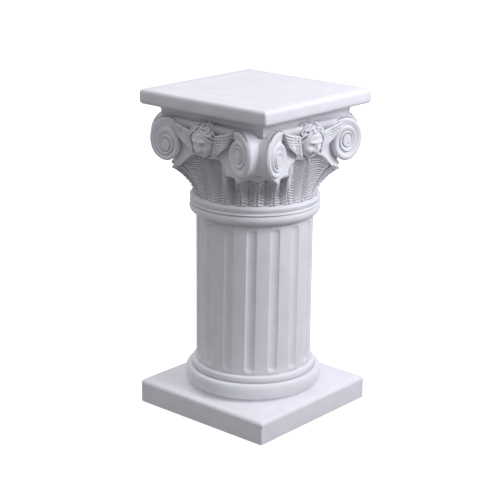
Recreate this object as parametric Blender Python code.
"""Fluted column pedestal: a small stand cast in one piece, with a square base plate, a fluted round
shaft and a carved capital of volutes, winged cherub heads and palm leaves under a square top plate.

Metres, +Z up. The origin is the middle of the underside. The front is -Y. The four
sides of the capital are alike; the front corner of each plate is crisper than the other three.
"""
import math

import bmesh
import bpy
from mathutils import Matrix, Vector

# Square base plate
BASE_SIDE = 0.1532
BASE_THICK = 0.0209
BASE_EDGE_ROUND = 0.0036
BASE_CORNER_ROUNDS = (0.0016, 0.0056, 0.0056, 0.0056)

# Two rings between the base plate and the shaft
FOOT_FILLET_HEIGHT = 0.0030
FOOT_FILLET_RADIUS = 0.0632
FOOT_FILLET_WAIST_SHARE = 0.3
FOOT_FILLET_WAIST_RISE = 0.4
FOOT_RING_HEIGHT = 0.0144
FOOT_RING_RADIUS = 0.0640
FOOT_RING_SEAT_RADIUS = 0.0606
BEAD_HEIGHT = 0.0063
BEAD_RADIUS = 0.0582
BEAD_SEAT_RADIUS = 0.0568
RING_OVERLAP = 0.0006

# Shaft and its flutes
SHAFT_RADIUS = 0.0540
SHAFT_LENGTH = 0.1430
FLUTES = 16
FLUTE_WIDTH = 0.0092
FLUTE_DEPTH = 0.0017
FLUTE_END_GAP_LOW = 0.0034
FLUTE_END_GAP_HIGH = 0.0036
FLUTE_TURN = math.radians(-7.3)
FLUTE_TWIST = math.radians(1.5)

# Two rings between the shaft and the capital
NECK_RING_HEIGHT = 0.0121
NECK_RING_RADIUS = 0.0603
COLLAR_HEIGHT = 0.0063
COLLAR_RADIUS = 0.0600
COLLAR_TOP_RADIUS = 0.0578
RING_GROOVE = 0.0011
RING_GROOVE_LIP_IN = 0.0003
RING_GROOVE_LIP_DROP = 0.0010
COLLAR_LEVELS = (0.25, 0.5, 0.8)
LEAF_SET_BACK = 0.0003

# Capital, from the collar to the neck slab; it came out of the mould turned a little on the shaft
CAPITAL_HEIGHT = 0.0721
CAPITAL_TURN = math.radians(-2.6)
LEAVES_PER_EIGHTH = 3
LEAF_FOOT_DEPTH = 0.0020
LEAF_TOP_DEPTH = 0.0082
LEAF_RIDGE_SHARE = 0.16
LEAF_SIDE_HOLLOW = 0.62
LEAF_RISES = (0.0, 0.45, 0.77, 1.0)
LIP_TURNS = (0.0, 22.5, 32.6, 45.0)
LIP_RADII = (0.0636, 0.0728, 0.0772, 0.0764)
LIP_HEIGHTS = (0.0406, 0.0291, 0.0246, 0.0256)
LIP_ARCHES = (0.0066, 0.0018, 0.0026)
LIP_SCALLOP = 0.0028
LIP_THICK = 0.0018
LIP_UNDERCUT = 0.0002
WALL_FOOT_HEIGHT = 0.0490
FLARE_STRAIGHT = 0.15
FLARE_POWER = 2.2
DRUM_HALF_SIDE = 0.0610
DRUM_CORNER_RADIUS = 0.0725

# Volutes: two at each corner, each turned a little towards the middle of its side
VOLUTE_EYE_ACROSS = 0.0456
VOLUTE_EYE_OUT = 0.0712
VOLUTE_EYE_DROP = 0.0220
VOLUTE_TURN = math.radians(12.0)
VOLUTE_RADIUS = 0.0212
VOLUTE_SHRINK = 0.62
VOLUTE_TALL = 0.06
VOLUTE_INWARD = 0.04
VOLUTE_START = math.radians(-30.0)
VOLUTE_TURNS = 2.3
VOLUTE_STEPS = 14
VOLUTE_CREST_SHARE = 0.55
VOLUTE_RELIEF = 0.0011
VOLUTE_DISH = 0.0016
VOLUTE_DEPTH = 0.0310

# Band that runs from volute to volute under the neck slab
BAND_HEIGHT = 0.0088
BAND_OUT = 0.0668
BAND_HALF_LENGTH = 0.0420
BAND_SWELL = 0.0031
BAND_GAP = 0.0004

# Cherub heads
HEAD_OUT = 0.0630
HEAD_DROP = 0.0148
HEAD_HALF_WIDTH = 0.0126
HEAD_HALF_DEPTH = 0.0113
HEAD_HALF_HEIGHT = 0.0142
HEAD_NOD = math.radians(20.0)
HEAD_SEGMENTS = 14
HEAD_RINGS = 10

# Wings, a fan of feathers on each side of a head
WING_ROOT_ACROSS = 0.0125
WING_ROOT_DROP = 0.0225
WING_OUT = 0.0665
WING_FEATHERS = 5
WING_RISE = 0.0195
WING_FIRST_ANGLE = math.radians(92.0)
WING_TIP_ANGLE = math.radians(38.0)
WING_LAST_ANGLE = math.radians(-8.0)
WING_SHORTEST = 0.0080
WING_REACHES = (0.22, 0.70, 1.0)
WING_NOTCH = 0.10
WING_FEATHER_RISE = 0.0011
WING_THICK = 0.0026
WING_BURIED = 0.0080

# Neck slab and square top plate
NECK_SIDE = 0.1205
NECK_HEIGHT = 0.0091
NECK_LEDGE = 0.0014
NECK_LEDGE_HEIGHT = 0.0032
TOP_SIDE = 0.1510
TOP_THICK = 0.0134
TOP_EDGE_ROUND = 0.0038
TOP_CORNER_ROUNDS = (0.0024, 0.0056, 0.0056, 0.0056)
TOP_DISH_MARGIN = 0.0130
TOP_DISH_SLOPE = 0.0090
TOP_DISH_DEPTH = 0.0007

# How deep one part of the casting reaches into the next
BURIED = 0.0040
ROUND_SEGMENTS = 48
ROUND_TURN = math.radians(2.0)
FLUTE_COLUMNS = 5
CORNER_STEPS = 3
EDGE_STEPS = 3
SHARPEST_CORNER = 0.0004

RESIN_COLOUR = (0.76, 0.75, 0.80, 1.0)
RESIN_ROUGHNESS = 0.62

# Levels, stacked from the underside
FOOT_RING_Z = BASE_THICK + FOOT_FILLET_HEIGHT
BEAD_Z = FOOT_RING_Z + FOOT_RING_HEIGHT - RING_OVERLAP
SHAFT_Z = BEAD_Z + BEAD_HEIGHT
NECK_RING_Z = SHAFT_Z + SHAFT_LENGTH
COLLAR_Z = NECK_RING_Z + NECK_RING_HEIGHT
CAPITAL_Z = COLLAR_Z + COLLAR_HEIGHT
NECK_Z = CAPITAL_Z + CAPITAL_HEIGHT
TOP_Z = NECK_Z + NECK_HEIGHT
COLUMN_TOP = TOP_Z + TOP_THICK
BAND_Z = NECK_Z - BAND_GAP - BAND_HEIGHT


def to_side(quarter):
    """Turns a form of the capital's front side to one of its four sides."""
    return Matrix.Rotation(CAPITAL_TURN + quarter * math.pi / 2, 4, "Z")


def turned(azimuth, radius, height):
    """A point at an azimuth counted from the front face (-Y) towards +X."""
    return Vector((radius * math.sin(azimuth), -radius * math.cos(azimuth), height))


def resin():
    material = bpy.data.materials.new("cast resin")
    material.use_nodes = True
    shader = material.node_tree.nodes["Principled BSDF"]
    shader.inputs["Base Color"].default_value = RESIN_COLOUR
    shader.inputs["Roughness"].default_value = RESIN_ROUGHNESS
    return material


def solid(name, vertices, faces, material):
    """An object from vertices and faces, with its faces turned outwards."""
    mesh = bpy.data.meshes.new(name)
    mesh.from_pydata([tuple(v) for v in vertices], [], faces)
    shape = bmesh.new()
    shape.from_mesh(mesh)
    bmesh.ops.recalc_face_normals(shape, faces=shape.faces)
    shape.to_mesh(mesh)
    shape.free()
    mesh.shade_smooth()
    mesh.set_sharp_from_angle(angle=math.radians(35))
    mesh.materials.append(material)
    body = bpy.data.objects.new(name, mesh)
    return body


def stacked_rings(rings):
    """Vertices and faces of a body through closed rings of points, flat at both ends."""
    count = len(rings[0])
    vertices = [point for ring in rings for point in ring]
    faces = [tuple(reversed(range(count)))]
    for level in range(len(rings) - 1):
        low = level * count
        high = low + count
        for i in range(count):
            j = (i + 1) % count
            faces.append((low + i, low + j, high + j, high + i))
    last = (len(rings) - 1) * count
    faces.append(tuple(range(last, last + count)))
    return vertices, faces


def turned_body(name, profile, material, segments=ROUND_SEGMENTS):
    """A round body from (radius, height) points, bottom to top."""
    step = math.tau / segments
    rings = [[turned(ROUND_TURN + i * step, radius, height) for i in range(segments)]
             for radius, height in profile]
    vertices, faces = stacked_rings(rings)
    return solid(name, vertices, faces, material)


def half_round(seat_radius, crown_radius, low, high, steps):
    """Profile of a half-round moulding between two heights."""
    points = []
    for i in range(steps + 1):
        angle = math.pi * i / steps
        radius = seat_radius + (crown_radius - seat_radius) * math.sin(angle)
        height = 0.5 * (low + high) - 0.5 * (high - low) * math.cos(angle)
        points.append((radius, height))
    return points


def square_ring(half, corner_rounds, height):
    """A level ring of points round a square; the first corner is at +X -Y, the others follow."""
    ring = []
    for quarter, corner_round in enumerate(corner_rounds):
        turn = Matrix.Rotation(quarter * math.pi / 2, 3, "Z")
        for i in range(CORNER_STEPS + 1):
            angle = math.pi / 2 * i / CORNER_STEPS
            x = half - corner_round * (1.0 - math.sin(angle))
            y = -half + corner_round * (1.0 - math.cos(angle))
            ring.append(turn @ Vector((x, y, height)))
    return ring


def edge_round_levels(edge_round, height, upwards):
    """(inset, height) down or up a quarter-round edge that ends level at a height."""
    levels = []
    for i in range(EDGE_STEPS + 1):
        angle = math.pi / 2 * i / EDGE_STEPS
        inset = edge_round * (1.0 - math.cos(angle))
        drop = edge_round * (1.0 - math.sin(angle))
        levels.append((inset, height - drop if upwards else height + drop))
    return levels if upwards else levels[::-1]


def plate(name, half, levels, corner_rounds, material):
    """A square plate through (inset, height) levels, bottom to top."""
    rings = [square_ring(half - inset, [max(r - inset, SHARPEST_CORNER) for r in corner_rounds], height)
             for inset, height in levels]
    vertices, faces = stacked_rings(rings)
    return solid(name, vertices, faces, material)


def base_plate(material):
    levels = [(0.0, 0.0)] + edge_round_levels(BASE_EDGE_ROUND, BASE_THICK, upwards=True)
    return plate("base_plate", 0.5 * BASE_SIDE, levels, BASE_CORNER_ROUNDS, material)


def foot_rings(material):
    """The large ring, on a small hollow fillet over the base plate, and the bead above it."""
    ring_top = FOOT_RING_Z + FOOT_RING_HEIGHT
    core = SHAFT_RADIUS - BURIED
    profile = [(core, BASE_THICK - BURIED), (FOOT_FILLET_RADIUS, BASE_THICK - BURIED),
               (FOOT_FILLET_RADIUS, BASE_THICK),
               (FOOT_RING_SEAT_RADIUS
                + FOOT_FILLET_WAIST_SHARE * (FOOT_FILLET_RADIUS - FOOT_RING_SEAT_RADIUS),
                BASE_THICK + FOOT_FILLET_WAIST_RISE * FOOT_FILLET_HEIGHT)]
    lower = half_round(FOOT_RING_SEAT_RADIUS, FOOT_RING_RADIUS, FOOT_RING_Z, ring_top, 6)
    bead = half_round(BEAD_SEAT_RADIUS, BEAD_RADIUS, BEAD_Z, SHAFT_Z, 4)
    lower[-1] = (BEAD_SEAT_RADIUS + RING_OVERLAP, ring_top)
    profile += lower + bead[1:-1] + [(SHAFT_RADIUS, SHAFT_Z), (core, SHAFT_Z + BURIED)]
    return turned_body("foot_rings", profile, material)


def flute_depth_at(height):
    """Share of the full flute depth at a height, with rounded ends."""
    radius = 0.5 * FLUTE_WIDTH
    low = SHAFT_Z + FLUTE_END_GAP_LOW
    high = NECK_RING_Z - FLUTE_END_GAP_HIGH
    inside = min(height - low, high - height)
    if inside >= radius:
        return 1.0
    if inside <= 0.0:
        return 0.0
    return math.sqrt(1.0 - (1.0 - inside / radius) ** 2)


def fluted_shaft(material):
    """The shaft: flat fillets between shallow round-bottomed flutes with rounded ends."""
    radius = 0.5 * FLUTE_WIDTH
    low = SHAFT_Z + FLUTE_END_GAP_LOW
    high = NECK_RING_Z - FLUTE_END_GAP_HIGH
    ends = [0.0, 0.30 * radius, radius]
    heights = [SHAFT_Z - BURIED]
    heights += [low + e for e in ends] + [high - e for e in reversed(ends)]
    heights += [NECK_RING_Z + BURIED]
    pitch = math.tau / FLUTES
    rings = []
    for height in heights:
        share = flute_depth_at(height)
        ring = []
        for flute in range(FLUTES):
            centre = FLUTE_TURN + flute * pitch + FLUTE_TWIST * ((height - SHAFT_Z) / SHAFT_LENGTH - 0.5)
            for i in range(FLUTE_COLUMNS):
                across = 2.0 * i / (FLUTE_COLUMNS - 1) - 1.0
                width = max(share, 0.25) * 0.5 * FLUTE_WIDTH
                angle = centre + across * width / SHAFT_RADIUS
                depth = FLUTE_DEPTH * share * (1.0 - across * across)
                ring.append(turned(angle, SHAFT_RADIUS - depth, height))
        rings.append(ring)
    vertices, faces = stacked_rings(rings)
    return solid("fluted_shaft", vertices, faces, material)


def neck_rings(material):
    """The ring at the top of the shaft and the collar on which the leaves stand."""
    core = SHAFT_RADIUS - BURIED
    groove = NECK_RING_RADIUS - RING_GROOVE
    profile = [(core, NECK_RING_Z - BURIED), (SHAFT_RADIUS - RING_OVERLAP, NECK_RING_Z)]
    ring = half_round(SHAFT_RADIUS, NECK_RING_RADIUS, NECK_RING_Z, COLLAR_Z, 6)
    profile += ring[1:-2]
    profile.append((NECK_RING_RADIUS - RING_GROOVE_LIP_IN, COLLAR_Z - RING_GROOVE_LIP_DROP))
    profile.append((groove, COLLAR_Z))
    for part in COLLAR_LEVELS:
        swell = math.sin(math.pi * min(part, 0.5))
        fall = max(0.0, (part - 0.5) / 0.5)
        radius = groove + (COLLAR_RADIUS - groove) * swell
        profile.append((radius + (COLLAR_TOP_RADIUS - radius) * fall, COLLAR_Z + COLLAR_HEIGHT * part))
    profile.append((COLLAR_TOP_RADIUS - LEAF_SET_BACK, CAPITAL_Z + LEAF_SET_BACK))
    return turned_body("neck_rings", profile, material)


def ridge_point(station, rise):
    """A point on the ridge between two leaves; station 0 is the side's middle, the last the corner."""
    foot_turn = math.radians(45.0) * station / LEAVES_PER_EIGHTH
    lip_turn = math.radians(LIP_TURNS[station])
    flare = FLARE_STRAIGHT * rise + (1.0 - FLARE_STRAIGHT) * rise ** FLARE_POWER
    azimuth = foot_turn + (lip_turn - foot_turn) * rise
    foot_radius = COLLAR_TOP_RADIUS - 2.0 * LEAF_SET_BACK
    radius = foot_radius + (LIP_RADII[station] - foot_radius) * flare
    return turned(azimuth, radius, CAPITAL_Z + LIP_HEIGHTS[station] * rise)


def pushed_in(point, depth):
    """The point moved level towards the axis."""
    level = Vector((point.x, point.y, 0.0))
    return point - level.normalized() * depth


def leaf_columns():
    """(station, share of the way to the next station, hollow) for the leaves of one eighth."""
    columns = []
    for station in range(LEAVES_PER_EIGHTH):
        for share, hollow in ((0.0, 0.0), (LEAF_RIDGE_SHARE, LEAF_SIDE_HOLLOW), (0.5, 1.0),
                              (1.0 - LEAF_RIDGE_SHARE, LEAF_SIDE_HOLLOW)):
            columns.append((station, share, hollow))
    return columns


def leaf_point(column, rise):
    station, share, hollow = column
    base = ridge_point(station, rise).lerp(ridge_point(station + 1, rise), share)
    arch = 4.0 * share * (1.0 - share)
    base.z += LIP_ARCHES[station] * arch * rise ** 2
    depth = (LEAF_FOOT_DEPTH + (LEAF_TOP_DEPTH - LEAF_FOOT_DEPTH) * rise ** 2) * hollow
    return pushed_in(base, depth)


def lip_point(column, lift):
    station, share, hollow = column
    base = ridge_point(station, 1.0).lerp(ridge_point(station + 1, 1.0), share)
    arch = 4.0 * share * (1.0 - share)
    base.z += LIP_ARCHES[station] * arch + lift
    return pushed_in(base, LIP_SCALLOP * arch)


def drum_point(column, height):
    """The plain wall behind the volutes: a square with well rounded corners."""
    lip = lip_point(column, 0.0)
    turn = math.atan2(lip.x, -lip.y)
    face = DRUM_HALF_SIDE / math.cos(turn)
    blend = (turn / math.radians(45.0)) ** 4
    return turned(turn, face + min(0.0, DRUM_CORNER_RADIUS - face) * blend, height)


def ring_of_eighths(point_of):
    """A closed ring from one eighth of the plan, mirrored and repeated round the four sides."""
    columns = leaf_columns()
    eighth = [point_of(column) for column in columns]
    corner_ridge = point_of((LEAVES_PER_EIGHTH - 1, 1.0, 0.0))
    mirrored = [Vector((-p.x, p.y, p.z)) for p in reversed(eighth[1:])]
    side = [Vector((-corner_ridge.x, corner_ridge.y, corner_ridge.z))] + mirrored + eighth
    ring = []
    for quarter in range(4):
        ring += [to_side(quarter) @ p for p in side]
    return ring


def leaf_bell(material):
    """The flaring bell: hollow palm leaves under a scalloped lip, and the plain wall above."""
    rings = [ring_of_eighths(lambda c: leaf_point(c, 0.0) - Vector((0.0, 0.0, BURIED)))]
    for rise in LEAF_RISES[:-1]:
        rings.append(ring_of_eighths(lambda c, r=rise: leaf_point(c, r)))
    rings.append(ring_of_eighths(lambda c: leaf_point(c, 1.0) if c[2] else lip_point(c, -LIP_UNDERCUT)))
    rings.append(ring_of_eighths(lambda c: lip_point(c, 0.0)))
    rings.append(ring_of_eighths(lambda c: lip_point(c, LIP_THICK)))
    wall_foot = CAPITAL_Z + WALL_FOOT_HEIGHT
    rings.append(ring_of_eighths(lambda c: drum_point(c, wall_foot)))
    rings.append(ring_of_eighths(lambda c: drum_point(c, NECK_Z)))
    vertices, faces = stacked_rings(rings)
    return solid("leaf_bell", vertices, faces, material)


def volute_radius(turned_by):
    """Spiral radius after turning from the top, outwards first; a little taller than wide."""
    shape = 1.0 + VOLUTE_TALL * math.cos(2.0 * turned_by) - VOLUTE_INWARD * math.sin(turned_by)
    return VOLUTE_RADIUS * VOLUTE_SHRINK ** (turned_by / math.tau) * shape


def volute_mesh():
    """A spiral in the plane x (outwards), z (up), its face at y = 0 looking to -Y."""
    turns = int(round(VOLUTE_TURNS * VOLUTE_STEPS))
    step = math.tau / VOLUTE_STEPS
    vertices = []
    grooves = []
    crests = []
    for i in range(turns + 1):
        angle = VOLUTE_START + i * step
        outer = volute_radius(angle)
        inner = volute_radius(angle + math.tau)
        sunk = VOLUTE_DISH * outer / VOLUTE_RADIUS
        grooves.append(len(vertices))
        vertices.append(Vector((outer * math.sin(angle), sunk, outer * math.cos(angle))))
        middle = outer + (inner - outer) * VOLUTE_CREST_SHARE
        crests.append(len(vertices))
        vertices.append(Vector((middle * math.sin(angle), sunk - VOLUTE_RELIEF, middle * math.cos(angle))))
    faces = []
    for i in range(turns):
        faces.append((grooves[i], grooves[i + 1], crests[i + 1], crests[i]))
        if i + VOLUTE_STEPS + 1 <= turns:
            faces.append((crests[i], crests[i + 1], grooves[i + 1 + VOLUTE_STEPS], grooves[i + VOLUTE_STEPS]))
    eye = len(vertices)
    vertices.append(Vector((0.0, -VOLUTE_RELIEF, 0.0)))
    first_inner = turns - VOLUTE_STEPS
    for i in range(first_inner, turns):
        faces.append((crests[i], crests[i + 1], eye))
    faces.append((crests[turns], grooves[turns], crests[first_inner], eye))
    rim = [grooves[i] for i in range(VOLUTE_STEPS + 1)] + [crests[0]]
    back = []
    for index in rim:
        back.append(len(vertices))
        vertices.append(Vector((vertices[index].x, VOLUTE_DEPTH, vertices[index].z)))
    for i in range(len(rim)):
        j = (i + 1) % len(rim)
        faces.append((rim[i], rim[j], back[j], back[i]))
    faces.append(tuple(back))
    return vertices, faces


def volutes(material):
    """Eight volutes, two to a side, mirrored about the side's middle."""
    vertices, faces = volute_mesh()
    place = Matrix.Translation((VOLUTE_EYE_ACROSS, -VOLUTE_EYE_OUT, NECK_Z - VOLUTE_EYE_DROP))
    place = place @ Matrix.Rotation(-VOLUTE_TURN, 4, "Z")
    bodies = []
    for quarter in range(4):
        turn = to_side(quarter)
        for mirror in (1.0, -1.0):
            flip = Matrix.Diagonal((mirror, 1.0, 1.0, 1.0))
            points = [turn @ flip @ place @ v for v in vertices]
            bodies.append(solid(f"volute_{quarter}_{'right' if mirror > 0 else 'left'}", points, faces, material))
    return bodies


def bands(material):
    """The plain bands that join the two volutes of a side under the neck slab."""
    bodies = []
    for quarter in range(4):
        turn = to_side(quarter)
        profile = []
        for part in range(5):
            angle = math.pi * part / 4
            height = BAND_Z + 0.5 * BAND_HEIGHT - 0.5 * BAND_HEIGHT * math.cos(angle)
            profile.append((-BAND_OUT + BAND_SWELL * (1.0 - math.sin(angle)), height))
        inside = -DRUM_HALF_SIDE + BURIED
        profile += [(inside, BAND_Z + BAND_HEIGHT), (inside, BAND_Z)]
        vertices = []
        for side in (-1.0, 1.0):
            vertices += [turn @ Vector((side * BAND_HALF_LENGTH, y, z)) for y, z in profile]
        count = len(profile)
        faces = [tuple(range(count)), tuple(reversed(range(count, 2 * count)))]
        for i in range(count):
            j = (i + 1) % count
            faces.append((i, i + count, j + count, j))
        bodies.append(solid(f"band_{quarter}", vertices, faces, material))
    return bodies


def bump(x, z, centre_x, centre_z, width, height):
    """A smooth hill of height 1 on the head's front."""
    return math.exp(-((x - centre_x) / width) ** 2 - ((z - centre_z) / height) ** 2)


def head_offset(side, front, up):
    """How far the head's surface stands from its plain egg, in shares of its half width."""
    if front <= 0.05:
        return 0.05 * math.cos(9.0 * math.atan2(side, up))
    face = min(1.0, front / 0.45)
    nose = 0.24 * bump(side, up, 0.0, -0.20, 0.16, 0.20)
    brow = 0.05 * bump(abs(side), up, 0.26, 0.10, 0.26, 0.12)
    sockets = -0.12 * bump(abs(side), up, 0.30, -0.06, 0.16, 0.12)
    cheeks = 0.07 * bump(abs(side), up, 0.40, -0.36, 0.26, 0.24)
    mouth = 0.06 * bump(side, up, 0.0, -0.56, 0.20, 0.09)
    chin = 0.10 * bump(side, up, 0.0, -0.84, 0.26, 0.14)
    hairline = 0.30 + 0.45 * side * side
    hair = 0.0
    if up > hairline - 0.55 * abs(side) or abs(side) > 0.72:
        hair = 0.13 + 0.05 * math.cos(8.0 * math.atan2(side, up + 0.3))
    return face * (nose + brow + sockets + cheeks + mouth + chin) + hair


def heads(material):
    """Four cherub heads, one in the middle of each side, nodding a little."""
    local = []
    for ring in range(1, HEAD_RINGS):
        polar = math.pi * ring / HEAD_RINGS
        for i in range(HEAD_SEGMENTS):
            around = math.tau * i / HEAD_SEGMENTS
            side = math.sin(polar) * math.sin(around)
            front = math.sin(polar) * math.cos(around)
            up = math.cos(polar)
            stand = 1.0 + head_offset(side, front, up)
            jaw = 1.0 - 0.16 * max(0.0, -up) ** 2
            local.append(Vector((side * stand * jaw * HEAD_HALF_WIDTH, -front * stand * HEAD_HALF_DEPTH,
                                 up * stand * HEAD_HALF_HEIGHT)))
    top = len(local)
    local.append(Vector((0.0, 0.0, HEAD_HALF_HEIGHT * 1.12)))
    local.append(Vector((0.0, 0.0, -HEAD_HALF_HEIGHT * 1.02)))
    faces = []
    for ring in range(HEAD_RINGS - 2):
        for i in range(HEAD_SEGMENTS):
            j = (i + 1) % HEAD_SEGMENTS
            low = (ring + 1) * HEAD_SEGMENTS
            high = ring * HEAD_SEGMENTS
            faces.append((high + i, high + j, low + j, low + i))
    last = (HEAD_RINGS - 2) * HEAD_SEGMENTS
    for i in range(HEAD_SEGMENTS):
        j = (i + 1) % HEAD_SEGMENTS
        faces.append((top, j, i))
        faces.append((top + 1, last + i, last + j))
    nod = Matrix.Rotation(HEAD_NOD, 4, "X")
    place = Matrix.Translation((0.0, -HEAD_OUT, NECK_Z - HEAD_DROP)) @ nod
    bodies = []
    for quarter in range(4):
        turn = to_side(quarter)
        bodies.append(solid(f"cherub_head_{quarter}", [turn @ place @ v for v in local], faces, material))
    return bodies


def feather_length(angle):
    """Up to the level top edge of the wing, or shorter below the wing's tip."""
    if angle >= WING_TIP_ANGLE:
        return WING_RISE / math.sin(angle)
    longest = WING_RISE / math.sin(WING_TIP_ANGLE)
    share = max(0.0, (angle - WING_LAST_ANGLE) / (WING_TIP_ANGLE - WING_LAST_ANGLE))
    return WING_SHORTEST + (longest - WING_SHORTEST) * share ** 1.5


def wing_mesh():
    """A right-hand wing in the plane x (outwards), z (up), its feathers raised towards -Y."""
    columns = 2 * WING_FEATHERS
    vertices = []
    front = []
    for i in range(columns + 1):
        angle = WING_FIRST_ANGLE + (WING_LAST_ANGLE - WING_FIRST_ANGLE) * i / columns
        quill = i % 2 == 1
        row = []
        for reach in WING_REACHES:
            at_end = reach == WING_REACHES[-1]
            distance = feather_length(angle) * reach
            if at_end and not quill:
                distance *= 1.0 - WING_NOTCH
            rise = WING_THICK + (WING_FEATHER_RISE if quill else 0.0)
            if at_end:
                rise *= 0.5
            row.append(len(vertices))
            vertices.append(Vector((distance * math.cos(angle), -rise, distance * math.sin(angle))))
        front.append(row)
    back = []
    for row in front:
        line = []
        for index in (row[0], row[-1]):
            line.append(len(vertices))
            vertices.append(Vector((vertices[index].x, WING_BURIED, vertices[index].z)))
        back.append(line)
    faces = []
    for i in range(columns):
        for j in range(len(WING_REACHES) - 1):
            faces.append((front[i][j], front[i][j + 1], front[i + 1][j + 1], front[i + 1][j]))
        faces.append((front[i][-1], back[i][1], back[i + 1][1], front[i + 1][-1]))
        faces.append((front[i][0], front[i + 1][0], back[i + 1][0], back[i][0]))
        faces.append((back[i][0], back[i + 1][0], back[i + 1][1], back[i][1]))
    for line, row in ((back[0], front[0]), (back[-1], front[-1])):
        faces.append(tuple(row) + (line[1], line[0]))
    return vertices, faces


def wings(material):
    vertices, faces = wing_mesh()
    place = Matrix.Translation((WING_ROOT_ACROSS, -WING_OUT, NECK_Z - WING_ROOT_DROP))
    bodies = []
    for quarter in range(4):
        turn = to_side(quarter)
        for mirror in (1.0, -1.0):
            flip = Matrix.Diagonal((mirror, 1.0, 1.0, 1.0))
            points = [turn @ flip @ place @ v for v in vertices]
            bodies.append(solid(f"wing_{quarter}_{'right' if mirror > 0 else 'left'}", points, faces, material))
    return bodies


def neck_slab(material):
    """The plain square slab under the top plate, with a narrow ledge at its top."""
    half = 0.5 * NECK_SIDE
    ledge = half + NECK_LEDGE
    levels = [(half, NECK_Z - BURIED), (half, TOP_Z - NECK_LEDGE_HEIGHT - NECK_LEDGE),
              (ledge, TOP_Z - NECK_LEDGE_HEIGHT), (ledge, TOP_Z + BURIED)]
    corners = ((-1, -1), (1, -1), (1, 1), (-1, 1))
    rings = [[Vector((size * x, size * y, height)) for x, y in corners] for size, height in levels]
    vertices, faces = stacked_rings(rings)
    return solid("neck_slab", vertices, faces, material)


def top_plate(material):
    """The square top plate, its upper face very slightly dished."""
    levels = edge_round_levels(TOP_EDGE_ROUND, TOP_Z, upwards=False)
    levels += edge_round_levels(TOP_EDGE_ROUND, COLUMN_TOP, upwards=True)
    levels.append((TOP_DISH_MARGIN, COLUMN_TOP))
    levels.append((TOP_DISH_MARGIN + TOP_DISH_SLOPE, COLUMN_TOP - TOP_DISH_DEPTH))
    return plate("top_plate", 0.5 * TOP_SIDE, levels, TOP_CORNER_ROUNDS, material)


def cast_together(plain, carved):
    """One closed casting: the carved bodies joined to the plain one by a Boolean union."""
    group = bpy.data.collections.new("joined to the casting")
    bpy.context.scene.collection.children.link(group)
    for body in carved:
        group.objects.link(body)
        body.hide_render = True
        body.display_type = "WIRE"
    bpy.context.scene.collection.objects.link(plain)
    joined = plain.modifiers.new("one casting", "BOOLEAN")
    joined.operation = "UNION"
    joined.solver = "MANIFOLD"
    joined.operand_type = "COLLECTION"
    joined.collection = group
    return plain


def build():
    for old in list(bpy.data.objects):
        bpy.data.objects.remove(old, do_unlink=True)
    material = resin()
    column = base_plate(material)
    column.name = "column_pedestal"
    carved = [foot_rings(material), fluted_shaft(material), neck_rings(material), leaf_bell(material),
              neck_slab(material), top_plate(material)]
    carved += volutes(material) + bands(material) + heads(material) + wings(material)
    cast_together(column, carved)


build()
